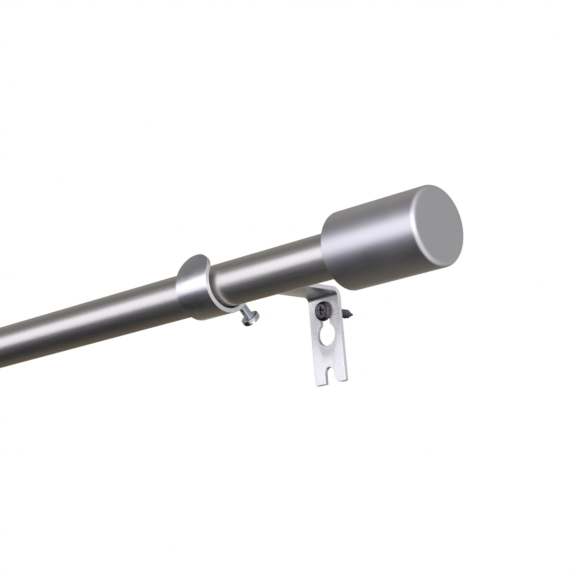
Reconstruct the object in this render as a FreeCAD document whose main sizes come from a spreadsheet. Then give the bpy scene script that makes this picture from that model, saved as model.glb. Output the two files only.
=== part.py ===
import FreeCAD, Part
import Sketcher
import os
import re
from math import radians

# Curtain rod with two wall brackets, millimetres.
# +X runs along the rod to its right-hand end, +Y points into the wall, +Z is up.
# The origin lies on the wall, on the centre line of the right bracket, in the middle of the
# web of its plate.

doc = FreeCAD.newDocument("curtain_rod")
sheet = doc.addObject("Spreadsheet::Sheet", "Sizes")
reckoner = doc.addObject("Spreadsheet::Sheet", "Reckoner")

SIZES = [
    # bracket strap
    ("strap_width", 18.0),
    ("strap_thickness", 2.0),
    ("wall_reach", 72.0),         # wall face to rod axis
    ("rod_rise", 25.0),           # rod axis above the origin
    ("arm_rise", 3.6),            # underside of the arm above the rod axis
    ("plate_drop", 12.4),         # bottom of the wall plate below the origin
    ("plate_bend", 2.5),          # inner radius, plate to arm
    ("neck_bend", 3.0),           # inner radius, arm to slanted back
    ("back_slope", 45.0),         # degrees above level
    ("back_gap", 0.3),            # rod to slanted back
    ("cradle_clearance", 1.5),    # inner radius of the cradle over the rod's
    ("cradle_shift", 0.5),        # cradle centre down the slanted back
    ("lip_slope", 65.0),          # degrees above level
    ("lip_length", 8.3),
    ("lip_flat", 0.3),            # left flat at the lip's tip, each side
    ("plate_corner", 0.8),
    # openings of the wall plate
    ("slot_width", 5.5),
    ("slot_top", 20.4),           # centre of the slot's round end above the origin
    ("keyhole_diameter", 10.5),
    ("keyhole_rise", 10.2),
    ("fork_width", 5.5),
    ("fork_top", 4.9),            # top of the fork below the origin
    ("fork_flare", 3.5),
    # clamping screw, M4
    ("clamp_diameter", 4.0),
    ("clamp_length", 12.0),
    ("clamp_offset", 6.6),        # up the slanted back from the rod's normal
    ("clamp_out", 10.0),          # shank showing between strap and head
    ("clamp_tip", 0.5),
    ("clamp_head", 8.0),
    ("clamp_head_height", 2.6),
    ("clamp_crown", 0.9),
    ("clamp_slot", 1.2),
    ("clamp_slot_depth", 1.3),
    ("clamp_slot_turn", 42.0),    # degrees from the rod's direction
    ("thread_gap", 0.04),
    # wall screw
    ("screw_diameter", 4.5),
    ("screw_length", 20.0),
    ("screw_point", 4.0),
    ("screw_neck", 2.0),          # plain shank under the head
    ("screw_neck_diameter", 4.0),
    ("screw_head", 9.2),
    ("screw_head_height", 2.2),
    ("screw_crown", 1.7),
    ("cross_span", 4.4),
    ("cross_width", 1.1),
    ("cross_depth", 1.6),
    ("hang_gap", 0.05),           # slot's top to the screw that carries it
    # rod
    ("rod_diameter", 19.0),
    ("tube_wall", 1.0),
    ("slide_gap", 0.5),           # between the two tubes, radial
    ("rod_length", 700.0),        # between the finials, pushed together
    ("inner_short", 50.0),        # inner tube's end to the right finial
    ("running_gap", 0.08),
    ("press_gap", 0.05),
    ("collar_length", 15.0),
    ("collar_flange", 1.0),
    ("collar_space", 1.0),        # collar to the left finial
    ("glide_plug", 14.0),
    ("glide_head", 5.0),
    # finials
    ("finial_stand_off", 74.0),   # bracket centre to finial
    ("finial_diameter", 32.0),
    ("finial_length", 46.0),
    ("finial_wall", 1.2),
    ("finial_rim", 1.5),
    ("finial_mouth", 0.5),
    ("core_inset", 0.6),
    ("core_flange", 3.0),
    ("core_length", 30.0),
    ("core_wall", 2.2),
    ("seat_depth", 10.0),
    ("seat_gap", 0.2),
    ("spigot_length", 9.8),
    ("spigot_taper", 1.5),
]

for row, (alias, value) in enumerate(SIZES, start=1):
    sheet.set(f"A{row}", alias)
    sheet.set(f"B{row}", str(value))
    sheet.setAlias(f"B{row}", alias)
doc.recompute()

ALIASES = re.compile(r"\b(" + "|".join(alias for alias, _ in SIZES) + r")\b")


def sized(text):
    """The expression with each size read from the sheet."""
    return ALIASES.sub(r"Sizes.\1", str(text))


def value(text):
    """What a formula of sizes comes to, worked out in one cell of a spare sheet."""
    reckoner.set("A1", f"={sized(text)}")
    reckoner.recompute()
    return float(reckoner.get("A1"))


def bind(item, name, text):
    item.setExpression(name, sized(text))


# Places that several pieces share, as expressions of the sizes.
ROD_R = "(rod_diameter / 2)"
BORE_R = f"({ROD_R} - tube_wall)"
INNER_R = f"({BORE_R} - slide_gap)"
INNER_BORE_R = f"({INNER_R} - tube_wall)"
HALF = "(strap_thickness / 2)"
ARM_Z = f"(rod_rise + arm_rise + {HALF})"
BACK = f"({ROD_R} + back_gap + {HALF})"
CRADLE_R = f"({ROD_R} + cradle_clearance + {HALF})"
RIGHT_FACE = "finial_stand_off"
LEFT_FACE = "(finial_stand_off - rod_length)"
RIGHT_BRACKET = "0"
LEFT_BRACKET = "(2 * finial_stand_off - rod_length)"
OUTER_LEFT = f"({LEFT_FACE} + collar_space + collar_flange)"
OUTER_LENGTH = "(rod_length + seat_depth - collar_space - collar_flange)"
INNER_LEFT = f"({LEFT_FACE} - seat_depth)"
INNER_LENGTH = "(rod_length + seat_depth - inner_short)"
SCREW_Z = f"(slot_top + slot_width / 2 - screw_diameter / 2 - hang_gap)"


def along_back(out, up):
    """A point of the bracket's side view, out from the rod axis square to the slanted back and up along it."""
    y = f"(-wall_reach + {out} * sin(back_slope) + {up} * cos(back_slope))"
    z = f"(rod_rise - {out} * cos(back_slope) + {up} * sin(back_slope))"
    return y, z


def new_body(label):
    body = doc.addObject("PartDesign::Body", label)
    body.Label = label
    return body


def new_sketch(body, name, role):
    sketch = body.newObject("Sketcher::SketchObject", f"{body.Label}_{name}")
    plane = next(item for item in body.Origin.OriginFeatures if item.Role == role)
    sketch.AttachmentSupport = [(plane, "")]
    sketch.MapMode = "FlatFace"
    return sketch


def pin_point(sketch, edge, end, place):
    """Ties one point of the sketch to a place given as two expressions."""
    for kind, text in zip(("DistanceX", "DistanceY"), place):
        if str(text) == "0":
            axis = -2 if kind == "DistanceX" else -1
            sketch.addConstraint(Sketcher.Constraint("PointOnObject", edge, end, axis))
            continue
        index = sketch.addConstraint(Sketcher.Constraint(kind, -1, 1, edge, end, value(text)))
        bind(sketch, f"Constraints[{index}]", text)


def spot(place):
    return FreeCAD.Vector(value(place[0]), value(place[1]), 0)


def outline(sketch, places):
    """A closed outline of straight edges through the places."""
    count = len(places)
    first = sketch.GeometryCount
    for index, place in enumerate(places):
        line = Part.LineSegment(spot(place), spot(places[(index + 1) % count]))
        sketch.addGeometry(line, False)
    for index, place in enumerate(places):
        following = first + (index + 1) % count
        sketch.addConstraint(Sketcher.Constraint("Coincident", first + index, 2, following, 1))
        pin_point(sketch, first + index, 1, place)


def circle(sketch, place, radius):
    index = sketch.addGeometry(Part.Circle(spot(place), FreeCAD.Vector(0, 0, 1), value(radius)), False)
    pin_point(sketch, index, 3, place)
    rule = sketch.addConstraint(Sketcher.Constraint("Radius", index, value(radius)))
    bind(sketch, f"Constraints[{rule}]", radius)


def arc(sketch, centre, radius, start, end):
    """An arc given by its centre, radius and angles, in degrees against the clock.

    Its two ends meet lines that are tied already, so one more rule fixes it: the radius, or
    for a half circle the height of its centre.
    """
    full = Part.Circle(spot(centre), FreeCAD.Vector(0, 0, 1), value(radius))
    first, last = value(start), value(end)
    index = sketch.addGeometry(Part.ArcOfCircle(full, radians(first), radians(last)), False)
    if abs(last - first - 180) < 1:
        text = centre[1]
        rule = sketch.addConstraint(Sketcher.Constraint("DistanceY", -1, 1, index, 3, value(text)))
    else:
        text = radius
        rule = sketch.addConstraint(Sketcher.Constraint("Radius", index, value(text)))
    bind(sketch, f"Constraints[{rule}]", text)
    return index


def pad(body, sketch, length, midplane=False):
    feature = body.newObject("PartDesign::Pad", f"{sketch.Name}_pad")
    feature.Profile = sketch
    bind(feature, "Length", length)
    feature.Midplane = midplane
    return feature


def pocket(body, sketch, length, midplane=True):
    feature = body.newObject("PartDesign::Pocket", f"{sketch.Name}_pocket")
    feature.Profile = sketch
    bind(feature, "Length", length)
    feature.Midplane = midplane
    return feature


def revolve(body, sketch, axis):
    feature = body.newObject("PartDesign::Revolution", f"{sketch.Name}_turned")
    feature.Profile = sketch
    feature.ReferenceAxis = (sketch, [axis])
    feature.Angle = 360.0
    return feature


def fillet(body, base, edges, radius):
    feature = body.newObject("PartDesign::Fillet", f"{base.Name}_round")
    feature.Base = (base, edges)
    bind(feature, "Radius", radius)
    return feature


def edges_where(feature, test):
    """Names of the feature's edges whose middle and direction pass the test."""
    names = []
    for index, edge in enumerate(feature.Shape.Edges, start=1):
        middle = edge.valueAt((edge.FirstParameter + edge.LastParameter) / 2)
        if test(edge, middle):
            names.append(f"Edge{index}")
    return names


def strap_path(body):
    """Middle line of the strap in side view: plate, arm, slanted back, cradle and lip."""
    sketch = new_sketch(body, "path", "YZ_Plane")
    plate_r = f"(plate_bend + {HALF})"
    neck_r = f"(neck_bend + {HALF})"
    plate_y = f"(-{HALF})"
    corner_up = f"((arm_rise + {HALF} + {BACK} * cos(back_slope)) / sin(back_slope))"
    corner = along_back(BACK, corner_up)
    trim = f"({neck_r} * tan(back_slope / 2))"
    neck_start = (f"({corner[0]} + {trim})", ARM_Z)
    neck_end = along_back(BACK, f"({corner_up} - {trim})")
    cradle_start = along_back(BACK, "(-cradle_shift)")
    centre = along_back(f"({BACK} - {CRADLE_R})", "(-cradle_shift)")
    lip_start = (f"({centre[0]} - {CRADLE_R} * sin(lip_slope))", f"({centre[1]} + {CRADLE_R} * cos(lip_slope))")
    lip_end = (f"({lip_start[0]} + lip_length * cos(lip_slope))", f"({lip_start[1]} + lip_length * sin(lip_slope))")
    bend_start = (plate_y, f"({ARM_Z} - {plate_r})")
    bend_end = (f"({plate_y} - {plate_r})", ARM_Z)
    foot = (plate_y, "(-plate_drop)")
    straights = [(foot, bend_start), (bend_end, neck_start), (neck_end, cradle_start), (lip_start, lip_end)]
    lines = []
    for start, end in straights:
        index = sketch.addGeometry(Part.LineSegment(spot(start), spot(end)), False)
        pin_point(sketch, index, 1, start)
        pin_point(sketch, index, 2, end)
        lines.append(index)
    plate, arm, back, lip = lines
    bend = arc(sketch, (bend_end[0], bend_start[1]), plate_r, "0", "90")
    neck = arc(sketch, (neck_start[0], f"({ARM_Z} - {neck_r})"), neck_r, "90", "90 + back_slope")
    cradle = arc(sketch, centre, CRADLE_R, "90 + lip_slope", "270 + back_slope")
    joins = [(plate, 2, bend, 1), (bend, 2, arm, 1), (arm, 2, neck, 1), (neck, 2, back, 1)]
    joins += [(back, 2, cradle, 2), (cradle, 1, lip, 1)]
    for join in joins:
        sketch.addConstraint(Sketcher.Constraint("Coincident", *join))
    return sketch


def bent_strap(body):
    path = strap_path(body)
    section = new_sketch(body, "section", "XY_Plane")
    bind(section, "AttachmentOffset.Base.z", "-plate_drop")
    side = "(strap_width / 2)"
    back, front = "0", "(-strap_thickness)"
    outline(section, [(f"(-{side})", front), (side, front), (side, back), (f"(-{side})", back)])
    doc.recompute()
    pipe = body.newObject("PartDesign::AdditivePipe", f"{body.Label}_strap")
    pipe.Profile = section
    pipe.Spine = (path, [f"Edge{index + 1}" for index in range(len(path.Shape.Edges))])
    doc.recompute()
    return pipe


def cut_keyhole(body):
    """Round hole below and narrow slot above it, which hangs on the wall screw."""
    lobe = new_sketch(body, "lobe", "XZ_Plane")
    circle(lobe, ("0", "keyhole_rise"), "keyhole_diameter / 2")
    pocket(body, lobe, "4 * strap_thickness")
    doc.recompute()
    slot = new_sketch(body, "slot", "XZ_Plane")
    side = "(slot_width / 2)"
    top = slot.addGeometry(Part.LineSegment(spot((side, "keyhole_rise")), spot((side, "slot_top"))), False)
    pin_point(slot, top, 1, (side, "keyhole_rise"))
    pin_point(slot, top, 2, (side, "slot_top"))
    far = (f"(-{side})", "slot_top"), (f"(-{side})", "keyhole_rise")
    down = slot.addGeometry(Part.LineSegment(spot(far[0]), spot(far[1])), False)
    pin_point(slot, down, 1, far[0])
    pin_point(slot, down, 2, far[1])
    end = arc(slot, ("0", "slot_top"), side, "0", "180")
    base = slot.addGeometry(Part.LineSegment(spot(far[1]), spot((side, "keyhole_rise"))), False)
    for join in [(top, 2, end, 1), (end, 2, down, 1), (down, 2, base, 1), (base, 2, top, 1)]:
        slot.addConstraint(Sketcher.Constraint("Coincident", *join))
    cut = pocket(body, slot, "4 * strap_thickness")
    doc.recompute()
    return cut


def cut_fork(body):
    """Open fork at the plate's bottom, its mouth flared on one side."""
    sketch = new_sketch(body, "fork", "XZ_Plane")
    side = "(fork_width / 2)"
    shoulder = f"(-fork_top - {side})"
    floor = "(-plate_drop)"
    below = "(-plate_drop - strap_thickness)"
    mouth = "(fork_flare - plate_drop)"
    wide = f"({side} + fork_flare)"
    left = (f"(-{side})", shoulder), (f"(-{side})", below)
    right = (side, mouth), (side, shoulder)
    lines = []
    corners = [left, (left[1], (wide, below)), ((wide, below), (wide, floor)), right]
    for start, end in corners:
        index = sketch.addGeometry(Part.LineSegment(spot(start), spot(end)), False)
        pin_point(sketch, index, 1, start)
        lines.append(index)
    pin_point(sketch, lines[2], 2, (wide, floor))
    pin_point(sketch, lines[3], 2, right[1])
    top = arc(sketch, ("0", shoulder), side, "0", "180")
    flare = arc(sketch, (wide, mouth), "fork_flare", "180", "270")
    down, under, up, inner = lines
    joins = [(down, 2, under, 1), (under, 2, up, 1), (up, 2, flare, 2), (flare, 1, inner, 1)]
    joins += [(inner, 2, top, 1), (top, 2, down, 1)]
    for join in joins:
        sketch.addConstraint(Sketcher.Constraint("Coincident", *join))
    cut = pocket(body, sketch, "4 * strap_thickness")
    doc.recompute()
    return cut


def cut_clamp_hole(body):
    """Threaded hole of the clamping screw, square to the slanted back."""
    sketch = new_sketch(body, "clamp_hole", "XY_Plane")
    foot = along_back(BACK, "clamp_offset")
    sketch.AttachmentOffset = FreeCAD.Placement(
        FreeCAD.Vector(0, value(foot[0]), value(foot[1])),
        FreeCAD.Rotation(FreeCAD.Vector(1, 0, 0), value("back_slope")),
    )
    bind(sketch, "AttachmentOffset.Base.y", foot[0])
    bind(sketch, "AttachmentOffset.Base.z", foot[1])
    bind(sketch, "AttachmentOffset.Rotation.Angle", "back_slope")
    circle(sketch, ("0", "0"), "clamp_diameter / 2 + thread_gap")
    cut = pocket(body, sketch, "2 * strap_thickness")
    doc.recompute()
    return cut


def make_bracket(label, along):
    body = new_body(label)
    bent_strap(body)
    cut_keyhole(body)
    cut_fork(body)
    last = cut_clamp_hole(body)
    lip_y = value("-wall_reach")
    top = max(vertex.Z for vertex in last.Shape.Vertexes if vertex.Y < lip_y)
    thickness = value("strap_thickness")

    def lip_corner(edge, middle):
        near_tip = middle.y < lip_y and middle.z > top - thickness
        return near_tip and abs(edge.Length - thickness) < 0.01

    last = fillet(body, last, edges_where(last, lip_corner), "strap_width / 2 - lip_flat")
    doc.recompute()
    floor, side = value("-plate_drop"), value("strap_width / 2")

    def plate_corner(edge, middle):
        return abs(middle.z - floor) < 0.01 and abs(abs(middle.x) - side) < 0.01

    last = fillet(body, last, edges_where(last, plate_corner), "plate_corner")
    body.Tip = last
    bind(body, "Placement.Base.x", along)
    return body


def turned_screw(body, head, height, crown, shank_places):
    """Pan-head screw turned about Z: head above the XY plane, shank below it."""
    sketch = new_sketch(body, "profile", "XZ_Plane")
    flat = f"({head} / 2 - {crown})"
    rise = f"({height} - {crown})"
    places = shank_places + [(f"({head} / 2)", "0"), (f"({head} / 2)", rise), (flat, height), ("0", height)]
    first = sketch.GeometryCount
    rim = len(shank_places) + 1
    for index, place in enumerate(places):
        following = places[(index + 1) % len(places)]
        if index == rim:
            arc(sketch, (flat, rise), crown, "0", "90")
            continue
        sketch.addGeometry(Part.LineSegment(spot(place), spot(following)), False)
    for index, place in enumerate(places):
        following = first + (index + 1) % len(places)
        sketch.addConstraint(Sketcher.Constraint("Coincident", first + index, 2, following, 1))
        pin_point(sketch, first + index, 1, place)
    doc.recompute()
    turned = revolve(body, sketch, "V_Axis")
    doc.recompute()
    return turned


def make_clamp_screw(label, along):
    body = new_body(label)
    shank = "(clamp_diameter / 2)"
    tip = f"({shank} - clamp_tip)"
    places = [("0", "(-clamp_length)"), (tip, "(-clamp_length)"), (shank, "(clamp_tip - clamp_length)"), (shank, "0")]
    turned_screw(body, "clamp_head", "clamp_head_height", "clamp_crown", places)
    slot = new_sketch(body, "slot", "XY_Plane")
    slot.AttachmentOffset.Rotation = FreeCAD.Rotation(FreeCAD.Vector(0, 0, 1), value("clamp_slot_turn"))
    bind(slot, "AttachmentOffset.Base.z", "clamp_head_height")
    bind(slot, "AttachmentOffset.Rotation.Angle", "clamp_slot_turn")
    side, half = "(clamp_slot / 2)", "clamp_head"
    outline(slot, [(f"(-{half})", f"(-{side})"), (half, f"(-{side})"), (half, side), (f"(-{half})", side)])
    cut = pocket(body, slot, "clamp_slot_depth", midplane=False)
    body.Tip = cut
    out = f"({ROD_R} + back_gap + strap_thickness + clamp_out)"
    seat = along_back(out, "clamp_offset")
    body.Placement.Rotation = FreeCAD.Rotation(FreeCAD.Vector(1, 0, 0), value("180 + back_slope"))
    bind(body, "Placement.Rotation.Angle", "180 + back_slope")
    bind(body, "Placement.Base.x", along)
    bind(body, "Placement.Base.y", seat[0])
    bind(body, "Placement.Base.z", seat[1])
    doc.recompute()
    return body


def make_wall_screw(label, along):
    body = new_body(label)
    shank = "(screw_diameter / 2)"
    tip = "(screw_diameter / 10)"
    neck = "(screw_neck_diameter / 2)"
    places = [("0", "(-screw_length)"), (tip, "(-screw_length)"), (shank, "(screw_point - screw_length)")]
    places += [(shank, "(-screw_neck)"), (neck, "(-screw_neck)"), (neck, "0")]
    turned_screw(body, "screw_head", "screw_head_height", "screw_crown", places)
    cross = new_sketch(body, "cross", "XY_Plane")
    bind(cross, "AttachmentOffset.Base.z", "screw_head_height")
    far, near = "(cross_span / 2)", "(cross_width / 2)"
    quarter = [(far, near), (near, near), (near, far)]
    places = []
    for sign_x, sign_y in [("", ""), ("-", ""), ("-", "-"), ("", "-")]:
        corner = [(f"({sign_x}{x})", f"({sign_y}{y})") for x, y in quarter]
        places += corner if sign_x == sign_y else corner[::-1]
    outline(cross, places)
    cut = pocket(body, cross, "cross_depth", midplane=False)
    body.Tip = cut
    body.Placement.Rotation = FreeCAD.Rotation(FreeCAD.Vector(1, 0, 0), 90)
    bind(body, "Placement.Base.x", along)
    bind(body, "Placement.Base.y", "-strap_thickness")
    bind(body, "Placement.Base.z", SCREW_Z)
    doc.recompute()
    return body


def make_turned(label, places, along, turned_about_z=0):
    """A piece turned about X from a half section whose places are (x, radius)."""
    body = new_body(label)
    sketch = new_sketch(body, "half", "XZ_Plane")
    outline(sketch, places)
    doc.recompute()
    feature = revolve(body, sketch, "H_Axis")
    body.Tip = feature
    body.Placement.Rotation = FreeCAD.Rotation(FreeCAD.Vector(0, 0, 1), turned_about_z)
    bind(body, "Placement.Base.x", along)
    bind(body, "Placement.Base.y", "-wall_reach")
    bind(body, "Placement.Base.z", "rod_rise")
    doc.recompute()
    return body


def make_tube(label, radius, length, along):
    """Tube drawn as a ring and padded along X."""
    body = new_body(label)
    sketch = new_sketch(body, "ring", "YZ_Plane")
    circle(sketch, ("0", "0"), radius)
    circle(sketch, ("0", "0"), f"({radius} - tube_wall)")
    body.Tip = pad(body, sketch, length)
    bind(body, "Placement.Base.x", along)
    bind(body, "Placement.Base.y", "-wall_reach")
    bind(body, "Placement.Base.z", "rod_rise")
    doc.recompute()
    return body


def make_collar():
    """Bush in the outer tube's left mouth that guides the inner tube."""
    bore = f"({INNER_R} + running_gap)"
    sleeve = f"({BORE_R} - press_gap)"
    places = [("(-collar_flange)", bore), ("(-collar_flange)", ROD_R), ("0", ROD_R), ("0", sleeve)]
    places += [("collar_length", sleeve), ("collar_length", bore)]
    return make_turned("tube_collar", places, OUTER_LEFT)


def make_glide():
    """Plug in the inner tube's hidden end, its head running in the outer tube."""
    plug = f"({INNER_BORE_R} - press_gap)"
    bore = f"({INNER_BORE_R} - core_wall)"
    head = f"({BORE_R} - running_gap)"
    places = [("(-glide_plug)", bore), ("(-glide_plug)", plug), ("0", plug), ("0", head)]
    places += [("glide_head", head), ("glide_head", bore)]
    return make_turned("tube_glide", places, f"({INNER_LEFT} + {INNER_LENGTH})")


def make_shell(label, along, turn):
    """Drawn cap: open towards the rod, closed at its outer face."""
    radius = "(finial_diameter / 2)"
    inner = f"({radius} - finial_wall)"
    floor = "(finial_length - finial_wall)"
    places = [("0", inner), ("0", radius), ("finial_length", radius), ("finial_length", "0")]
    places += [(floor, "0"), (floor, inner)]
    body = make_turned(label, places, along, turn)
    turned = body.Tip
    length = value("finial_length")
    outer = value(radius)

    def at(edge, place, size):
        round_edge = hasattr(edge.Curve, "Radius") and abs(edge.Curve.Radius - size) < 0.01
        return round_edge and abs(edge.Curve.Center.x - place) < 0.01

    rim = edges_where(turned, lambda edge, middle: at(edge, length, outer))
    rounded = fillet(body, turned, rim, "finial_rim")
    doc.recompute()
    mouth = edges_where(rounded, lambda edge, middle: at(edge, 0, outer))
    body.Tip = fillet(body, rounded, mouth, "finial_mouth")
    doc.recompute()
    return body


def make_core(label, tube_radius, along, turn):
    """Moulded core: two flanges in the shell, a seat for the tube's end and a spigot inside the tube."""
    flange = "(finial_diameter / 2 - finial_wall - press_gap)"
    seat = f"({tube_radius} + running_gap)"
    hub = f"({seat} + core_wall)"
    spigot = f"({tube_radius} - tube_wall - running_gap)"
    bore = f"({spigot} - core_wall)"
    front = "core_inset"
    back = "(core_inset + core_length)"
    floor = "(seat_depth + seat_gap)"
    nose = f"({floor} - spigot_length)"
    places = [(front, seat), (front, flange), (f"({front} + core_flange)", flange)]
    places += [(f"({front} + core_flange)", hub), (f"({back} - core_flange)", hub)]
    places += [(f"({back} - core_flange)", flange), (back, flange), (back, bore)]
    places += [(nose, bore), (nose, f"({spigot} - core_wall / 2)"), (f"({nose} + spigot_taper)", spigot)]
    places += [(floor, spigot), (floor, seat)]
    return make_turned(label, places, along, turn)


def build():
    for side, along in (("right", RIGHT_BRACKET), ("left", LEFT_BRACKET)):
        make_bracket(f"bracket_{side}", along)
        make_clamp_screw(f"clamp_screw_{side}", along)
        make_wall_screw(f"wall_screw_{side}", along)
    make_tube("outer_tube", ROD_R, OUTER_LENGTH, OUTER_LEFT)
    make_tube("inner_tube", INNER_R, INNER_LENGTH, INNER_LEFT)
    make_collar()
    make_glide()
    make_shell("finial_shell_right", RIGHT_FACE, 0)
    make_core("finial_core_right", ROD_R, RIGHT_FACE, 0)
    make_shell("finial_shell_left", LEFT_FACE, 180)
    make_core("finial_core_left", INNER_R, LEFT_FACE, 180)


def check():
    """Stops before anything is written if a feature or a piece failed."""
    doc.recompute()
    for item in doc.Objects:
        faults = [state for state in item.State if state in ("Invalid", "Error")]
        if faults:
            raise RuntimeError(f"{item.Name}: {faults}")
    bodies = [item for item in doc.Objects if item.TypeId == "PartDesign::Body"]
    for body in bodies:
        if body.Shape.isNull() or not body.Shape.isValid() or not body.Shape.Solids:
            raise RuntimeError(f"{body.Label} has no valid solid")
    return bodies


def write(bodies):
    os.makedirs("parts", exist_ok=True)
    for body in bodies:
        body.Shape.exportStep(f"parts/{body.Label}.step")
        print(f"{body.Label}: {body.Shape.Volume:.1f} mm3")


build()
write(check())
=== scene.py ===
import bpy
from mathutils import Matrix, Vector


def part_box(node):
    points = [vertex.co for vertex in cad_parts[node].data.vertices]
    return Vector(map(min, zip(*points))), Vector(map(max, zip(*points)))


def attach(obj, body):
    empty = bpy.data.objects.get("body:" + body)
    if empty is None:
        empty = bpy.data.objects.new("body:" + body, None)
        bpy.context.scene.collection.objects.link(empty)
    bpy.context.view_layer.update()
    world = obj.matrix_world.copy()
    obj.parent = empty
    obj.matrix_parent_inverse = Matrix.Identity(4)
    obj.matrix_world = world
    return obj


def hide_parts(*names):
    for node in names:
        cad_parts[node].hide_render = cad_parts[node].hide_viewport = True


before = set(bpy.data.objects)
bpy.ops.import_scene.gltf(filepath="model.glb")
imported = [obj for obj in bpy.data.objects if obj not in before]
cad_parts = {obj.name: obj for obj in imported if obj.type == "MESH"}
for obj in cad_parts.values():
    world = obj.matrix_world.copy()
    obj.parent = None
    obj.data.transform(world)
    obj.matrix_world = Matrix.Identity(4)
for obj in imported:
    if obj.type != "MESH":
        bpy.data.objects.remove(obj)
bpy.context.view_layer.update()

from math import atan2, cos, hypot, pi, radians, sin, tan

import bmesh
import bpy
from mathutils import Matrix, Vector

# Curtain rod in two strap brackets. Metres, in the frame's own axes:
# X along the rod, +Y into the wall, Z up, the origin on the wall behind the right bracket.

mm = 0.001
near = 0.01 * mm  # closer than this counts as the same place
print("frame loaded:", len(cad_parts), "nodes")


# ---- working in edit mode

def takeHold(piece):
    bpy.ops.object.select_all(action="DESELECT")
    piece.select_set(True)
    bpy.context.view_layer.objects.active = piece


def nameIt(name):  # the new primitive, which is the active object
    piece = bpy.context.object
    piece.name = name
    piece.data.name = name
    return piece


def pick(kind, test):  # kind is verts, edges or faces; picks those that pass the test
    modes = {"verts": "VERT", "edges": "EDGE", "faces": "FACE"}
    bpy.ops.mesh.select_mode(type=modes[kind])
    bpy.ops.mesh.select_all(action="DESELECT")
    mesh = bmesh.from_edit_mesh(bpy.context.object.data)
    for item in getattr(mesh, kind):
        if test(item):
            item.select_set(True)
    mesh.select_flush_mode()
    bmesh.update_edit_mesh(bpy.context.object.data)


def edgeMiddle(edge):
    return (edge.verts[0].co + edge.verts[1].co) / 2


def cornerArc(centre, radius, start, end, steps):  # places on an arc, angles in degrees
    angles = [radians(start + (end - start) * step / steps) for step in range(steps + 1)]
    return [(centre[0] + radius * cos(angle), centre[1] + radius * sin(angle)) for angle in angles]


def turned(name, outline, steps):  # a lathe piece about Z from an outline of (radius, height)
    bpy.ops.object.select_all(action="DESELECT")
    bpy.ops.mesh.primitive_plane_add(size=mm, enter_editmode=True)
    piece = nameIt(name)
    bpy.ops.mesh.select_mode(type="VERT")
    bpy.ops.mesh.select_all(action="SELECT")
    bpy.ops.mesh.merge(type="CENTER")
    places = [Vector((radius, 0, height)) for radius, height in outline]
    bpy.ops.transform.translate(value=places[0])
    for here, there in zip(places, places[1:]):
        bpy.ops.mesh.extrude_region_move(TRANSFORM_OT_translate={"value": there - here})
    bpy.ops.mesh.select_all(action="SELECT")
    bpy.ops.mesh.spin(steps=steps, angle=2 * pi, center=(0, 0, 0), axis=(0, 0, 1))
    bpy.ops.mesh.select_all(action="SELECT")
    bpy.ops.mesh.remove_doubles(threshold=0.002 * mm)
    bpy.ops.mesh.normals_make_consistent(inside=False)
    bpy.ops.object.mode_set(mode="OBJECT")
    return piece


def modify(piece, kind, **settings):  # adds a modifier and applies it
    takeHold(piece)
    modifier = piece.modifiers.new(kind.lower(), kind)
    for name, value in settings.items():
        setattr(modifier, name, value)
    bpy.ops.object.modifier_apply(modifier=modifier.name)


def cutAway(piece, cutter):  # takes the cutter's shape out of the piece
    modify(piece, "BOOLEAN", operation="DIFFERENCE", object=cutter, solver="EXACT")
    bpy.data.objects.remove(cutter)


def putAt(piece, matrix):  # its place goes into its mesh
    takeHold(piece)
    piece.matrix_world = matrix
    bpy.ops.object.transform_apply(location=True, rotation=True, scale=True)


def copyOf(piece, name, matrix):
    other = piece.copy()
    other.data = piece.data.copy()
    other.name = name
    other.data.name = name
    bpy.context.scene.collection.objects.link(other)
    putAt(other, matrix)
    return other


def smoothen(piece, angle=35):
    takeHold(piece)
    bpy.ops.object.shade_smooth_by_angle(angle=radians(angle))


def finishPiece(piece, body, node, finish):
    piece.data.materials.clear()
    piece.data.materials.append(finish)
    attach(piece, body)
    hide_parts(node)


# ---- finishes

def linear(hexColour):
    shades = [int(hexColour[start:start + 2], 16) / 255 for start in (1, 3, 5)]
    return [shade / 12.92 if shade <= 0.04045 else ((shade + 0.055) / 1.055) ** 2.4
            for shade in shades] + [1]


def addNode(tree, kind, settings, links):  # a key that is no property of the node is one of its sockets
    node = tree.nodes.new(kind)
    for key, value in settings.items():
        if isinstance(key, str) and hasattr(node, key):
            setattr(node, key, value)
        else:
            node.inputs[key].default_value = value
    for key, source in links.items():
        tree.links.new(source, node.inputs[key])
    return node


def newFinish(name):
    finish = bpy.data.materials.new(name)
    finish.use_nodes = True
    finish.node_tree.nodes.clear()
    return finish, finish.node_tree


# Satin nickel over steel tube: brushed along the tube, so its streaks run with X.
satinNickel = {
    "light": "#dfdcd6", "dark": "#cbc8c3",
    "roughness": (0.28, 0.40),
    "streakWidth": 0.35 * mm, "streakLength": 40 * mm, "cloud": 30 * mm,
    "bump": 0.006 * mm, "bumpStrength": 0.6,
}

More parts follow.
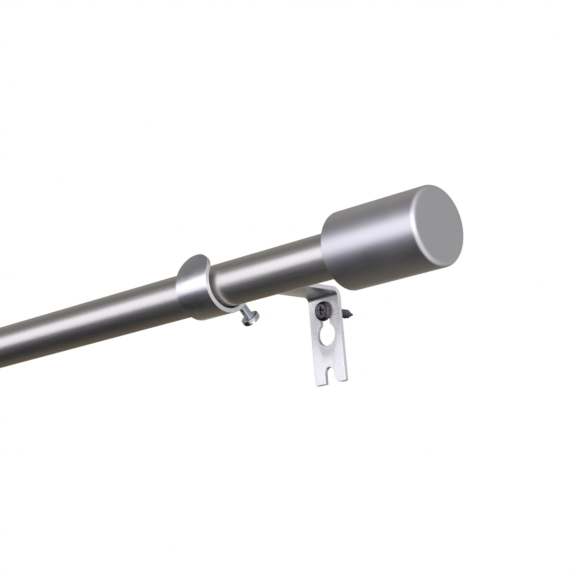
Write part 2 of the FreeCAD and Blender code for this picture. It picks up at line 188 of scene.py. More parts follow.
def makeSatinNickel():
    finish, tree = newFinish("satinNickelBrushed")
    place = addNode(tree, "ShaderNodeTexCoord", {}, {}).outputs["Object"]
    long, across = 1 / satinNickel["streakLength"], 1 / satinNickel["streakWidth"]
    stretched = addNode(tree, "ShaderNodeMapping", {"Scale": (long, across, across)}, {"Vector": place})
    streaks = addNode(tree, "ShaderNodeTexNoise", {"Scale": 1, "Detail": 3, "Roughness": 0.6},
                      {"Vector": stretched.outputs[0]})
    clouds = addNode(tree, "ShaderNodeTexNoise", {"Scale": 1 / satinNickel["cloud"], "Detail": 2},
                     {"Vector": place})
    both = addNode(tree, "ShaderNodeMath", {"operation": "MULTIPLY_ADD", 1: 0.3},
                   {0: clouds.outputs[0], 2: streaks.outputs[0]})
    colour = addNode(tree, "ShaderNodeMix", {"data_type": "RGBA"}, {0: streaks.outputs[0]})
    colour.inputs[6].default_value = linear(satinNickel["dark"])
    colour.inputs[7].default_value = linear(satinNickel["light"])
    low, high = satinNickel["roughness"]
    rough = addNode(tree, "ShaderNodeMapRange", {1: 0.3, 2: 1.0, 3: low, 4: high}, {0: both.outputs[0]})
    bump = addNode(tree, "ShaderNodeBump",
                   {"Strength": satinNickel["bumpStrength"], "Distance": satinNickel["bump"]},
                   {"Height": streaks.outputs[0]})
    metal = addNode(tree, "ShaderNodeBsdfPrincipled", {"Metallic": 1},
                    {"Base Color": colour.outputs[2], "Roughness": rough.outputs[0],
                     "Normal": bump.outputs[0]})
    addNode(tree, "ShaderNodeOutputMaterial", {}, {"Surface": metal.outputs[0]})
    return finish


# Satin silver cap: spun steel, bead-blasted and lacquered, with an even fine grain and no direction.
satinSilver = {
    "light": "#e0dfe1", "dark": "#d2d1d4",
    "roughness": (0.36, 0.44),
    "grain": 0.45 * mm, "cloud": 14 * mm,
    "bump": 0.008 * mm, "bumpStrength": 0.5,
}

def makeSatinSilver():
    finish, tree = newFinish("satinSilverBlasted")
    place = addNode(tree, "ShaderNodeTexCoord", {}, {}).outputs["Object"]
    grain = addNode(tree, "ShaderNodeTexNoise", {"Scale": 1 / satinSilver["grain"], "Detail": 2},
                    {"Vector": place})
    clouds = addNode(tree, "ShaderNodeTexNoise", {"Scale": 1 / satinSilver["cloud"], "Detail": 2},
                     {"Vector": place})
    both = addNode(tree, "ShaderNodeMix", {"data_type": "FLOAT", 0: 0.5},
                   {2: grain.outputs[0], 3: clouds.outputs[0]})
    colour = addNode(tree, "ShaderNodeMix", {"data_type": "RGBA"}, {0: both.outputs[0]})
    colour.inputs[6].default_value = linear(satinSilver["dark"])
    colour.inputs[7].default_value = linear(satinSilver["light"])
    low, high = satinSilver["roughness"]
    rough = addNode(tree, "ShaderNodeMapRange", {1: 0.3, 2: 0.7, 3: low, 4: high}, {0: both.outputs[0]})
    bump = addNode(tree, "ShaderNodeBump",
                   {"Strength": satinSilver["bumpStrength"], "Distance": satinSilver["bump"]},
                   {"Height": grain.outputs[0]})
    metal = addNode(tree, "ShaderNodeBsdfPrincipled", {"Metallic": 1},
                    {"Base Color": colour.outputs[2], "Roughness": rough.outputs[0],
                     "Normal": bump.outputs[0]})
    addNode(tree, "ShaderNodeOutputMaterial", {}, {"Surface": metal.outputs[0]})
    return finish


# Bright zinc plate on strip steel: bluish and fairly shiny, with faint lines across the strip.
# Its sheared edges and the wall plate's face carry a painted sheen: by the share in a face attribute, the
# metal there turns partly matt and near-white, so those faces light up as bright as a highlight.
brightZinc = {
    # the near-white colour of the painted sheen, and how far the marked edges and plate face are turned to
    # it
    "light": "#f2f2f3", "dark": "#e2e2e4", "paintedSheenColour": "#eaeaee",
    "edgePaintedSheen": 0.42, "facePaintedSheen": 0.4,
    "roughness": (0.25, 0.35),
    "lineWidth": 0.3 * mm, "lineLength": 9 * mm, "cloud": 5 * mm,
    "bump": 0.004 * mm, "bumpStrength": 0.3,
}

def makeBrightZinc():
    finish, tree = newFinish("brightZincPlate")
    place = addNode(tree, "ShaderNodeTexCoord", {}, {}).outputs["Object"]
    long, across = 1 / brightZinc["lineLength"], 1 / brightZinc["lineWidth"]
    stretched = addNode(tree, "ShaderNodeMapping", {"Scale": (long, across, across)}, {"Vector": place})
    lines = addNode(tree, "ShaderNodeTexNoise", {"Scale": 1, "Detail": 3},
                    {"Vector": stretched.outputs[0]})
    clouds = addNode(tree, "ShaderNodeTexNoise", {"Scale": 1 / brightZinc["cloud"], "Detail": 3},
                     {"Vector": place})
    both = addNode(tree, "ShaderNodeMix", {"data_type": "FLOAT", 0: 0.4},
                   {2: lines.outputs[0], 3: clouds.outputs[0]})
    colour = addNode(tree, "ShaderNodeMix", {"data_type": "RGBA"}, {0: both.outputs[0]})
    colour.inputs[6].default_value = linear(brightZinc["dark"])
    colour.inputs[7].default_value = linear(brightZinc["light"])
    low, high = brightZinc["roughness"]
    rough = addNode(tree, "ShaderNodeMapRange", {1: 0.3, 2: 0.7, 3: low, 4: high}, {0: both.outputs[0]})
    bump = addNode(tree, "ShaderNodeBump",
                   {"Strength": brightZinc["bumpStrength"], "Distance": brightZinc["bump"]},
                   {"Height": lines.outputs[0]})
    # painted sheen: the marked faces lose metalness and mix towards a near-white, so they light up like a
    # highlight
    paintedSheen = addNode(tree, "ShaderNodeAttribute", {"attribute_name": "paintedSheen"}, {}).outputs["Fac"]
    metalness = addNode(tree, "ShaderNodeMath", {"operation": "SUBTRACT", 0: 1.0}, {1: paintedSheen})
    shade = addNode(tree, "ShaderNodeMix", {"data_type": "RGBA"}, {0: paintedSheen, 6: colour.outputs[2]})
    shade.inputs[7].default_value = linear(brightZinc["paintedSheenColour"])
    metal = addNode(tree, "ShaderNodeBsdfPrincipled", {},
                    {"Base Color": shade.outputs[2], "Metallic": metalness.outputs[0],
                     "Roughness": rough.outputs[0], "Normal": bump.outputs[0]})
    addNode(tree, "ShaderNodeOutputMaterial", {}, {"Surface": metal.outputs[0]})
    return finish


# Plated screws: one recipe, bright blue zinc for the clamping screws and black zinc for the wall screws.
screwPlate = {
    "blueZinc": {"light": "#e6ebf0", "dark": "#bac3cb", "roughness": (0.10, 0.20)},
    "blackZinc": {"light": "#7d7880", "dark": "#353236", "roughness": (0.18, 0.32)},
    "spot": 0.8 * mm,
    "bump": 0.01 * mm, "bumpStrength": 0.4,
}

def makeScrewPlate(tone):
    finish, tree = newFinish(tone + "Screw")
    place = addNode(tree, "ShaderNodeTexCoord", {}, {}).outputs["Object"]
    spots = addNode(tree, "ShaderNodeTexNoise", {"Scale": 1 / screwPlate["spot"], "Detail": 4},
                    {"Vector": place})
    colour = addNode(tree, "ShaderNodeMix", {"data_type": "RGBA"}, {0: spots.outputs[0]})
    colour.inputs[6].default_value = linear(screwPlate[tone]["dark"])
    colour.inputs[7].default_value = linear(screwPlate[tone]["light"])
    low, high = screwPlate[tone]["roughness"]
    rough = addNode(tree, "ShaderNodeMapRange", {1: 0.3, 2: 0.7, 3: low, 4: high}, {0: spots.outputs[0]})
    bump = addNode(tree, "ShaderNodeBump",
                   {"Strength": screwPlate["bumpStrength"], "Distance": screwPlate["bump"]},
                   {"Height": spots.outputs[0]})
    metal = addNode(tree, "ShaderNodeBsdfPrincipled", {"Metallic": 1},
                    {"Base Color": colour.outputs[2], "Roughness": rough.outputs[0],
                     "Normal": bump.outputs[0]})
    addNode(tree, "ShaderNodeOutputMaterial", {}, {"Surface": metal.outputs[0]})
    return finish


# Moulded plastics: black ABS cores and grey nylon bushes, with a fine spark texture from the mould.
moulded = {
    "blackAbs": {"light": "#242424", "dark": "#161616", "roughness": (0.42, 0.58), "ior": 1.54},
    "greyNylon": {"light": "#c4c3bf", "dark": "#adaca8", "roughness": (0.38, 0.52), "ior": 1.53},
    "spark": 0.3 * mm, "flow": 8 * mm,
    "bump": 0.02 * mm, "bumpStrength": 0.4,
}

def makeMoulded(tone):
    finish, tree = newFinish(tone)
    place = addNode(tree, "ShaderNodeTexCoord", {}, {}).outputs["Object"]
    sparks = addNode(tree, "ShaderNodeTexNoise", {"Scale": 1 / moulded["spark"], "Detail": 3},
                     {"Vector": place})
    flow = addNode(tree, "ShaderNodeTexNoise", {"Scale": 1 / moulded["flow"], "Detail": 2},
                   {"Vector": place})
    colour = addNode(tree, "ShaderNodeMix", {"data_type": "RGBA"}, {0: flow.outputs[0]})
    colour.inputs[6].default_value = linear(moulded[tone]["dark"])
    colour.inputs[7].default_value = linear(moulded[tone]["light"])
    low, high = moulded[tone]["roughness"]
    rough = addNode(tree, "ShaderNodeMapRange", {1: 0.3, 2: 0.7, 3: low, 4: high}, {0: sparks.outputs[0]})
    bump = addNode(tree, "ShaderNodeBump",
                   {"Strength": moulded["bumpStrength"], "Distance": moulded["bump"]},
                   {"Height": sparks.outputs[0]})
    plastic = addNode(tree, "ShaderNodeBsdfPrincipled", {"IOR": moulded[tone]["ior"]},
                      {"Base Color": colour.outputs[2], "Roughness": rough.outputs[0],
                       "Normal": bump.outputs[0]})
    addNode(tree, "ShaderNodeOutputMaterial", {}, {"Surface": plastic.outputs[0]})
    return finish


finishes = {
    "tube": makeSatinNickel(),
    "cap": makeSatinSilver(),
    "strap": makeBrightZinc(),
    "clampScrew": makeScrewPlate("blueZinc"),
    "wallScrew": makeScrewPlate("blackZinc"),
    "core": makeMoulded("blackAbs"),
    "bush": makeMoulded("greyNylon"),
}
print("finishes made:", len(finishes))


# ---- where things are, from the frame

def middleOf(node):
    low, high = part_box(node)
    return (low + high) / 2


rodAxis = middleOf("outer_tube")
rodRadius = (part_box("outer_tube")[1].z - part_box("outer_tube")[0].z) / 2
leftOffset = Matrix.Translation((middleOf("bracket_left").x - middleOf("bracket_right").x, 0, 0))


# ---- tubes

tubeMake = {"wall": 1 * mm, "edge": 0.2 * mm, "sides": 128}

def makeTube(name, node, body):  # rolled tube with its cut ends broken
    low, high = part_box(node)
    bpy.ops.object.select_all(action="DESELECT")
    bpy.ops.mesh.primitive_cylinder_add(vertices=tubeMake["sides"], radius=(high.z - low.z) / 2,
                                        depth=high.x - low.x, end_fill_type="NOTHING")
    tube = nameIt(name)
    putAt(tube, Matrix.Translation((low + high) / 2) @ Matrix.Rotation(pi / 2, 4, "Y"))
    modify(tube, "SOLIDIFY", thickness=tubeMake["wall"], offset=-1, use_even_offset=True)
    modify(tube, "BEVEL", width=tubeMake["edge"], segments=2, limit_method="ANGLE", angle_limit=radians(60))
    smoothen(tube)
    finishPiece(tube, body, node, finishes["tube"])


makeTube("rodTubeOuter", "outer_tube", "rod")
makeTube("rodTubeInner", "inner_tube", "inner_rod")
print("tubes made")


# ---- end caps

capMake = {"wall": 1.2 * mm, "rim": 2.2 * mm, "mouth": 0.5 * mm, "sides": 160}

def makeCaps():  # drawn cap: flat end, round rim, rolled mouth
    low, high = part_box("finial_shell_right")
    radius, length, wall = (high.z - low.z) / 2, high.x - low.x, capMake["wall"]
    rim, mouth = capMake["rim"], capMake["mouth"]
    inner = radius - wall
    outline = [(0, length), (radius / 2, length)]
    outline += cornerArc((radius - rim, length - rim), rim, 90, 0, 10)
    outline += cornerArc((radius - mouth, mouth), mouth, 0, -90, 6)
    outline += [(inner, 0), (inner, length - wall), (0, length - wall)]
    cap = turned("endCapRight", outline, capMake["sides"])
    putAt(cap, Matrix.Translation((low.x, rodAxis.y, rodAxis.z)) @ Matrix.Rotation(pi / 2, 4, "Y"))
    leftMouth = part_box("finial_shell_left")[1].x
    turn = Matrix.Translation((leftMouth + low.x, 2 * rodAxis.y, 0)) @ Matrix.Rotation(pi, 4, "Z")
    other = copyOf(cap, "endCapLeft", turn)
    smoothen(cap)
    smoothen(other)
    finishPiece(cap, "finial_right", "finial_shell_right", finishes["cap"])
    finishPiece(other, "finial_left", "finial_shell_left", finishes["cap"])


makeCaps()
print("end caps made")


# ---- bracket straps

strapMake = {
    "thickness": 2 * mm,
    "armRise": 3.6 * mm, "plateBend": 2.5 * mm, "neckBend": 3 * mm,
    "backSlope": 45, "backGap": 0.3 * mm,
    "cradleClearance": 1.5 * mm, "cradleShift": 0.5 * mm,
    "lipSlope": 65, "lipLength": 8.3 * mm, "lipFlat": 0.3 * mm, "plateCorner": 0.8 * mm,
    "slotWidth": 5.5 * mm, "slotTop": 20.4 * mm,
    "keyholeWidth": 10.5 * mm, "keyholeRise": 10.2 * mm,
    "forkWidth": 5.5 * mm, "forkTop": -4.9 * mm, "forkFlare": 3.5 * mm,
    "clampHole": 4.08 * mm, "clampUp": 6.6 * mm,
    "edge": 0.22 * mm,
}


def acrossBore(name, diameter, place, direction, depth, sides=64):  # a round cutter
    bpy.ops.object.select_all(action="DESELECT")
    bpy.ops.mesh.primitive_cylinder_add(vertices=sides, radius=diameter / 2, depth=depth)
    cutter = nameIt(name)
    putAt(cutter, Matrix.Translation(place) @ direction.to_track_quat("Z", "X").to_matrix().to_4x4())
    return cutter


def slotBlock(name, width, bottom, top, depth):  # a square-ended cutter through the plate
    bpy.ops.object.select_all(action="DESELECT")
    bpy.ops.mesh.primitive_cube_add(size=1)
    cutter = nameIt(name)
    middle = Matrix.Translation((0, 0, (bottom + top) / 2))
    putAt(cutter, middle @ Matrix.Diagonal((width, depth, top - bottom, 1)))
    return cutter


def bendStrap():  # one flat strip, run and bent from the plate's foot to the lip's tip
    make, thick = strapMake, strapMake["thickness"]
    low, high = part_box("bracket_right")
    slope = radians(make["backSlope"])
    out = rodRadius + make["backGap"] + thick / 2
    plateRadius, neckRadius = make["plateBend"] + thick / 2, make["neckBend"] + thick / 2
    cradleRadius = rodRadius + make["cradleClearance"] + thick / 2
    armHeight = rodAxis.z + make["armRise"] + thick / 2
    cornerUp = (make["armRise"] + thick / 2 + out * cos(slope)) / sin(slope)
    cornerY = rodAxis.y + out * sin(slope) + cornerUp * cos(slope)
    trim = neckRadius * tan(slope / 2)
    bpy.ops.object.select_all(action="DESELECT")
    bpy.ops.mesh.primitive_plane_add(size=1, enter_editmode=True)
    strap = nameIt("strapRight")
    bpy.ops.transform.resize(value=(high.x - low.x, thick, 1))
    place = Vector((0, -thick / 2, low.z))
    bpy.ops.transform.translate(value=place)
    heading = 0.0  # degrees from straight up, towards the room

    def run(length):
        nonlocal place
        step = Vector((0, -sin(radians(heading)), cos(radians(heading)))) * length
        bpy.ops.mesh.extrude_region_move(TRANSFORM_OT_translate={"value": step})
        place = place + step

    def bend(radius, angle, steps):
        nonlocal place, heading
        side = 1 if angle > 0 else -1
        inward = Vector((0, -cos(radians(heading)), -sin(radians(heading)))) * side
        centre = place + inward * radius
        # spin turns clockwise
        bpy.ops.mesh.spin(steps=steps, angle=-radians(angle), center=centre, axis=(1, 0, 0))
        place = centre + Matrix.Rotation(radians(angle), 3, "X") @ (place - centre)
        heading += angle

    run(armHeight - plateRadius - low.z)
    bend(plateRadius, 90, 12)
    run((-thick / 2 - plateRadius) - (cornerY + trim))
    bend(neckRadius, make["backSlope"], 8)
    run(cornerUp - trim + make["cradleShift"])
    bend(cradleRadius, -(90 + make["backSlope"] - make["lipSlope"] + 90), 40)
    run(make["lipLength"])
    half = (high.x - low.x) / 2
    outward = Vector((0, -sin(radians(heading)), cos(radians(heading))))

    def atTip(edge):  # the two short edges across the strap's thickness
        ends = [end.co - place for end in edge.verts]
        across = abs(ends[0].x - ends[1].x) < near
        return across and all(abs(end.dot(outward)) < near for end in ends)

    pick("edges", atTip)
    bpy.ops.mesh.bevel(offset=half - make["lipFlat"], segments=18, affect="EDGES")
    pick("edges", lambda edge: abs(abs(edgeMiddle(edge).x) - half) < near
         and all(abs(end.co.z - low.z) < near for end in edge.verts))
    bpy.ops.mesh.bevel(offset=make["plateCorner"], segments=5, affect="EDGES")
    bpy.ops.mesh.select_all(action="SELECT")
    bpy.ops.mesh.normals_make_consistent(inside=False)
    bpy.ops.object.mode_set(mode="OBJECT")
    return strap


def onClampAxis(out):  # the clamping screw's axis at this distance from the rod's, and its direction
    slope = radians(strapMake["backSlope"])
    back = Vector((0, sin(slope), -cos(slope)))
    up = Vector((0, cos(slope), sin(slope)))
    return Vector((0, rodAxis.y, rodAxis.z)) + back * out + up * strapMake["clampUp"], back


def punchStrap(strap):  # keyhole, fork and the clamping screw's hole
    make, thick = strapMake, strapMake["thickness"]
    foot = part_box("bracket_right")[0].z
    wall = Vector((0, 1, 0))
    cutAway(strap, acrossBore("lobe", make["keyholeWidth"], (0, 0, make["keyholeRise"]), wall, 4 * thick))
    cutAway(strap, slotBlock("slot", make["slotWidth"], make["keyholeRise"], make["slotTop"], 4 * thick))
    cutAway(strap, acrossBore("slotEnd", make["slotWidth"], (0, 0, make["slotTop"]), wall, 4 * thick))
    shoulder = make["forkTop"] - make["forkWidth"] / 2
    cutAway(strap, slotBlock("fork", make["forkWidth"], foot - thick, shoulder, 4 * thick))
    cutAway(strap, acrossBore("forkEnd", make["forkWidth"], (0, 0, shoulder), wall, 4 * thick))
    hole, back = onClampAxis(rodRadius + make["backGap"] + thick / 2)
    cutAway(strap, acrossBore("clampBore", make["clampHole"], hole, back, 2 * thick))
    takeHold(strap)
    bpy.ops.object.mode_set(mode="EDIT")
    pick("edges", lambda edge: all(abs(end.co.x - make["forkWidth"] / 2) < near
                                   and abs(end.co.z - foot) < near for end in edge.verts))
    bpy.ops.mesh.bevel(offset=make["forkFlare"], segments=10, affect="EDGES")
    bpy.ops.mesh.select_all(action="SELECT")
    bpy.ops.mesh.remove_doubles(threshold=0.001 * mm)
    bpy.ops.object.mode_set(mode="OBJECT")
    modify(strap, "BEVEL", width=make["edge"], segments=3, limit_method="ANGLE", angle_limit=radians(40),
           use_clamp_overlap=True, harden_normals=False)


def markPaintedSheen(strap):  # marks the sheared edges and the wall plate's face to carry the painted sheen
    half, front = strap.dimensions.x / 2, -strapMake["thickness"]
    marks = strap.data.attributes.new("paintedSheen", "FLOAT", "FACE")
    for face, mark in zip(strap.data.polygons, marks.data):
        if abs(face.normal.x) > 0.99 and abs(face.center.x) > half - 0.1 * mm:
            mark.value = brightZinc["edgePaintedSheen"]
        elif face.normal.y < -0.99 and face.center.y > front - 0.1 * mm:
            mark.value = brightZinc["facePaintedSheen"]


def makeStraps():
    strap = bendStrap()
    punchStrap(strap)
    markPaintedSheen(strap)
    other = copyOf(strap, "strapLeft", leftOffset)
    smoothen(strap)
    smoothen(other)
    finishPiece(strap, "brackets", "bracket_right", finishes["strap"])
    finishPiece(other, "brackets", "bracket_left", finishes["strap"])


makeStraps()
print("straps made")


# ---- screws

def threadShape(phase, sharp):  # depth of the groove, 0 at the crest and 1 at the root
    fall = abs(2 * (phase % 1) - 1)
    return min(1, (1 - fall) * sharp)


def cutThread(piece, top, bottom, pitch, depth, fade, sharp):  # a helix pressed into a shank about Z
    for vertex in piece.data.vertices:
        place = vertex.co
        radius = hypot(place.x, place.y)
        onAxis = radius < 0.1 * mm
        if onAxis or not bottom <= place.z <= top:
            continue
        phase = place.z / pitch - atan2(place.y, place.x) / (2 * pi)
        ends = min(1, (top - place.z) / fade, (place.z - bottom) / fade)
        shrunk = radius - min(depth, radius / 2) * threadShape(phase, sharp) * max(0, ends)
        place.x *= shrunk / radius
        place.y *= shrunk / radius


clampMake = {
    "shank": 4 * mm, "length": 12 * mm, "tip": 0.5 * mm,
    "pitch": 0.7 * mm, "depth": 0.38 * mm, "ringsPerTurn": 8,
    "threadFade": 0.5 * mm, "threadSharp": 1.15, "threadMargin": (0.3 * mm, 0.1 * mm),
    "head": 8 * mm, "headHeight": 2.6 * mm, "crown": 0.9 * mm, "underHead": 0.15 * mm,
    "slotWidth": 1.2 * mm, "slotDepth": 1.3 * mm, "slotTurn": 42,
    "out": 10 * mm,
    "sides": 48, "edge": 0.08 * mm,
}

def makeClampScrews():  # slotted pan head with a full metric thread
    make = clampMake
    shank, head, crown = make["shank"] / 2, make["head"] / 2, make["crown"]
    under, threaded = make["underHead"], make["length"] - make["tip"] - make["underHead"]
    rings = int(make["length"] / (make["pitch"] / make["ringsPerTurn"]))
    outline = [(0, make["headHeight"]), (head / 2, make["headHeight"])]
    outline += cornerArc((head - crown, make["headHeight"] - crown), crown, 90, 0, 6)
    outline += cornerArc((head - under, under), under, 0, -90, 3)
    outline += [(shank + under, 0)]
    outline += [(shank, -under - threaded * ring / rings) for ring in range(rings + 1)]
    outline += [(shank - make["tip"], -make["length"]), (0, -make["length"])]
    screw = turned("clampScrewRight", outline, make["sides"])
    above, below = make["threadMargin"]
    cutThread(screw, -above, -make["length"] + below, make["pitch"], make["depth"],
              make["threadFade"], make["threadSharp"])
    bpy.ops.object.select_all(action="DESELECT")
    bpy.ops.mesh.primitive_cube_add(size=1)
    blade = nameIt("screwdriverSlot")
    putAt(blade, Matrix.Rotation(radians(make["slotTurn"]), 4, "Z")
          @ Matrix.Translation((0, 0, make["headHeight"]))
          @ Matrix.Diagonal((2 * make["head"], make["slotWidth"], 2 * make["slotDepth"], 1)))
    cutAway(screw, blade)
    modify(screw, "BEVEL", width=make["edge"], segments=2, limit_method="ANGLE", angle_limit=radians(55))
    seat = onClampAxis(rodRadius + strapMake["backGap"] + strapMake["thickness"] + make["out"])[0]
    turn = pi + radians(strapMake["backSlope"])
    putAt(screw, Matrix.Translation(seat) @ Matrix.Rotation(turn, 4, "X"))
    other = copyOf(screw, "clampScrewLeft", leftOffset)
    smoothen(screw)
    smoothen(other)
    finishPiece(screw, "clamp_right", "clamp_screw_right", finishes["clampScrew"])
    finishPiece(other, "clamp_left", "clamp_screw_left", finishes["clampScrew"])


wallScrewMake = {
    "shank": 4.5 * mm, "neck": 4 * mm, "neckLength": 2 * mm, "length": 20 * mm, "point": 4 * mm,
    "pitch": 1.8 * mm, "depth": 0.75 * mm, "ringsPerTurn": 10,
    "threadFade": 0.8 * mm, "threadSharp": 2.2, "threadMargin": (0.05 * mm, 0.1 * mm),
    "head": 9.2 * mm, "headHeight": 2.2 * mm, "crown": 1.7 * mm,
    "headEdge": 0.2 * mm, "underHead": 0.1 * mm,
    "crossSpan": 4.4 * mm, "crossWidth": 1.1 * mm, "crossDepth": 1.6 * mm,
    "crossMouth": (1.3, 1.2),  # shares of the span and the width at the top of a blade
    "crossFoot": (0.45, 0.6),  # shares of those at its foot
    "sides": 48, "edge": 0.06 * mm,
}

def makeWallScrews():  # cross-head pan screw with a coarse thread, black
    make = wallScrewMake
    shank, neck, head, crown = make["shank"] / 2, make["neck"] / 2, make["head"] / 2, make["crown"]
    threadStart = -make["neckLength"]
    threadEnd = make["point"] - make["length"]
    step = make["pitch"] / make["ringsPerTurn"]
    rings = int((threadStart - threadEnd) / step)
    corner, under = make["headEdge"], make["underHead"]
    outline = [(0, make["headHeight"]), ((head - crown) / 2, make["headHeight"])]
    outline += cornerArc((head - crown, make["headHeight"] - crown), crown, 90, 0, 8)
    outline += cornerArc((head - corner, corner), corner, 0, -90, 3)
    outline += [(neck + under, 0), (neck, -under), (neck, threadStart)]
    outline += [(shank, threadStart + (threadEnd - threadStart) * ring / rings)
                for ring in range(rings + 1)]
    tipRings = int(make["point"] / step)
    tip = make["shank"] / 10
    outline += [(shank + (tip - shank) * ring / tipRings, threadEnd - make["point"] * ring / tipRings)
                for ring in range(1, tipRings + 1)]
    outline += [(0, -make["length"])]
    screw = turned("wallScrewRight", outline, make["sides"])
    above, below = make["threadMargin"]
    cutThread(screw, threadStart + above, -make["length"] + below, make["pitch"], make["depth"],
              make["threadFade"], make["threadSharp"])
    wideSpan, wideWidth = make["crossMouth"]
    for turn in (0, 90):  # two tapered blades make the cross
        bpy.ops.object.select_all(action="DESELECT")
        bpy.ops.mesh.primitive_cube_add(size=1, enter_editmode=True)
        blade = nameIt("crossBlade")
        pick("faces", lambda face: face.normal.z < -0.5)
        bpy.ops.transform.resize(value=(*make["crossFoot"], 1), center_override=(0, 0, 0))
        bpy.ops.object.mode_set(mode="OBJECT")
        putAt(blade, Matrix.Rotation(radians(turn), 4, "Z")
              @ Matrix.Translation((0, 0, make["headHeight"]))
              @ Matrix.Diagonal((wideSpan * make["crossSpan"], wideWidth * make["crossWidth"],
                                 2 * make["crossDepth"], 1)))
        cutAway(screw, blade)
    modify(screw, "BEVEL", width=make["edge"], segments=2, limit_method="ANGLE", angle_limit=radians(60))
    seat = middleOf("wall_screw_right")
    putAt(screw, Matrix.Translation((0, -strapMake["thickness"], seat.z)) @ Matrix.Rotation(pi / 2, 4, "X"))
    other = copyOf(screw, "wallScrewLeft", leftOffset)
    smoothen(screw)
    smoothen(other)
    finishPiece(screw, "brackets", "wall_screw_right", finishes["wallScrew"])
    finishPiece(other, "brackets", "wall_screw_left", finishes["wallScrew"])


makeClampScrews()
makeWallScrews()
print("screws made")


# ---- CAD nodes that keep their shape

for node, use in (("finial_core_right", "core"), ("finial_core_left", "core"),
                  ("tube_collar", "bush"), ("tube_glide", "bush")):
    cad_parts[node].data.materials.clear()
    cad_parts[node].data.materials.append(finishes[use])
print("plastic pieces finished")


# ---- camera, light and floor

shot = {
    "place": (0.4656, -0.5513, -0.1150),
    "azimuth": 41.56, "elevation": -11.68, "roll": -4.90,
    "lens": 101.19, "sensor": 36,
}

def setCamera():
    side, rise, roll = (radians(shot[name]) for name in ("azimuth", "elevation", "roll"))
    ahead = Vector((-sin(side) * cos(rise), cos(side) * cos(rise), -sin(rise)))
    level = Vector((cos(side), sin(side), 0))
    upright = level.cross(ahead)
    right = level * cos(roll) + upright * sin(roll)
    up = right.cross(ahead)
    camera = bpy.data.objects.new("camera", bpy.data.cameras.new("camera"))
    bpy.context.scene.collection.objects.link(camera)
    facing = Matrix((right, up, -ahead)).transposed().to_4x4()
    camera.matrix_world = Matrix.Translation(shot["place"]) @ facing
    camera.data.sensor_width = shot["sensor"]
    camera.data.lens = shot["lens"]
    bpy.context.scene.camera = camera


studio = {
    "panelPlace": (-0.3, -1.0, 0.205), "panelSize": (6.0, 0.84),
    "panelLight": 1.3, "panelColour": "#f4f3ff",
    "floorHeight": -0.32, "floorSize": 30.0, "floorColour": "#f2f1ee",
    # what the metal mirrors to the left and to the right, by the angle about the rod,
    # in degrees from the room's level
    "leftSide": [
        (-180, "#dad7d0"), (-168, "#9c968c"), (-156, "#746d62"), (-126, "#655d50"), (-105, "#544d45"),
        (-87, "#34322f"), (-71, "#222121"), (-57, "#242426"), (-40, "#32333a"), (-15, "#4c4d56"),
        (40, "#9a9a9e"), (58, "#707073"), (72, "#676769"), (90, "#918e8c"), (110, "#a19d99"),
        (150, "#9b958d"), (168, "#a19b92"), (180, "#dad7d0"),
    ],
    "rightSide": [
        (-180, "#aaaaaa"), (-130, "#c8c8c8"), (-100, "#f4f4f8"), (60, "#f4f4f8"), (100, "#c0c0c2"),
        (140, "#aaaaaa"), (180, "#aaaaaa"),
    ],
    "sideBlend": (-0.2, 0.4),  # the sideways share over which one fades into the other
    "surroundingsLight": 1.0,
    "backdrop": 1.0, "ambient": 1.1,
}

def addRamp(tree, share, turns):  # colours by angle, all the way round
    ramp = addNode(tree, "ShaderNodeValToRGB", {}, {0: share.outputs[0]})
    stops = ramp.color_ramp.elements
    stops.remove(stops[-1])
    for number, (turn, colour) in enumerate(turns):
        stop = stops[0] if number == 0 else stops.new((turn + 180) / 360)
        stop.position = (turn + 180) / 360
        stop.color = linear(colour)
    return ramp


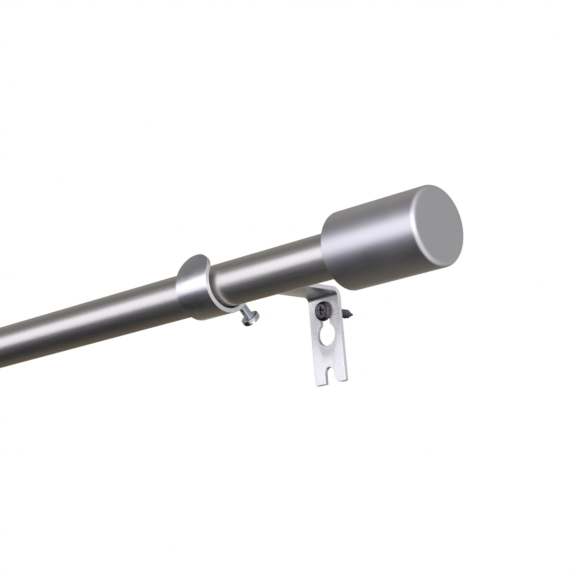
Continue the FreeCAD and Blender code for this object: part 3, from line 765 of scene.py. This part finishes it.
def setStudio():
    panel = bpy.data.objects.new("panel", bpy.data.lights.new("panel", "AREA"))
    bpy.context.scene.collection.objects.link(panel)
    panel.data.shape = "RECTANGLE"
    panel.data.size, panel.data.size_y = studio["panelSize"]
    panel.data.energy = studio["panelLight"] * pi * panel.data.size * panel.data.size_y
    panel.data.color = linear(studio["panelColour"])[:3]
    panel.matrix_world = Matrix.Translation(studio["panelPlace"]) @ Matrix.Rotation(pi / 2, 4, "X")
    panel.visible_camera = False
    panel.visible_diffuse = False

    world = bpy.data.worlds.new("studio")
    bpy.context.scene.world = world
    world.use_nodes = True
    world.cycles.sampling_method = "NONE"
    tree = world.node_tree
    tree.nodes.clear()
    direction = addNode(tree, "ShaderNodeTexCoord", {}, {}).outputs["Generated"]
    parts = addNode(tree, "ShaderNodeSeparateXYZ", {}, {0: direction})
    ahead = addNode(tree, "ShaderNodeMath", {"operation": "MULTIPLY", 1: -1},
                    {0: parts.outputs[1]})
    angle = addNode(tree, "ShaderNodeMath", {"operation": "ARCTAN2"},
                    {0: parts.outputs[2], 1: ahead.outputs[0]})
    share = addNode(tree, "ShaderNodeMapRange", {1: -pi, 2: pi}, {0: angle.outputs[0]})
    left = addRamp(tree, share, studio["leftSide"])
    right = addRamp(tree, share, studio["rightSide"])
    begin, end = studio["sideBlend"]
    aside = addNode(tree, "ShaderNodeMapRange",
                    {"interpolation_type": "SMOOTHSTEP", 1: begin, 2: end}, {0: parts.outputs[0]})
    around = addNode(tree, "ShaderNodeMix", {"data_type": "RGBA"},
                     {0: aside.outputs[0], 6: left.outputs[0], 7: right.outputs[0]})
    path = addNode(tree, "ShaderNodeLightPath", {}, {})
    mirrored = addNode(tree, "ShaderNodeBackground", {"Strength": studio["surroundingsLight"]},
                       {0: around.outputs[2]})
    ambient = addNode(tree, "ShaderNodeBackground", {"Strength": studio["ambient"]}, {})
    backdrop = addNode(tree, "ShaderNodeBackground", {"Strength": studio["backdrop"]}, {})
    ambient.inputs[0].default_value = (1, 1, 1, 1)
    backdrop.inputs[0].default_value = (1, 1, 1, 1)
    soft = addNode(tree, "ShaderNodeMixShader", {},
                   {0: path.outputs["Is Diffuse Ray"], 1: mirrored.outputs[0], 2: ambient.outputs[0]})
    seen = addNode(tree, "ShaderNodeMixShader", {},
                   {0: path.outputs["Is Camera Ray"], 1: soft.outputs[0], 2: backdrop.outputs[0]})
    addNode(tree, "ShaderNodeOutputWorld", {}, {0: seen.outputs[0]})
    bpy.context.scene.view_settings.view_transform = "Standard"

    bpy.ops.object.select_all(action="DESELECT")
    bpy.ops.mesh.primitive_plane_add(size=studio["floorSize"], location=(0, 0, studio["floorHeight"]))
    floor = nameIt("floor")
    floor.visible_glossy = False
    floor.visible_shadow = False
    paint, tree = newFinish("paleFloor")
    matt = addNode(tree, "ShaderNodeBsdfDiffuse", {}, {})
    matt.inputs[0].default_value = linear(studio["floorColour"])
    addNode(tree, "ShaderNodeOutputMaterial", {}, {"Surface": matt.outputs[0]})
    floor.data.materials.append(paint)


setCamera()
setStudio()
print("camera, light and floor set")
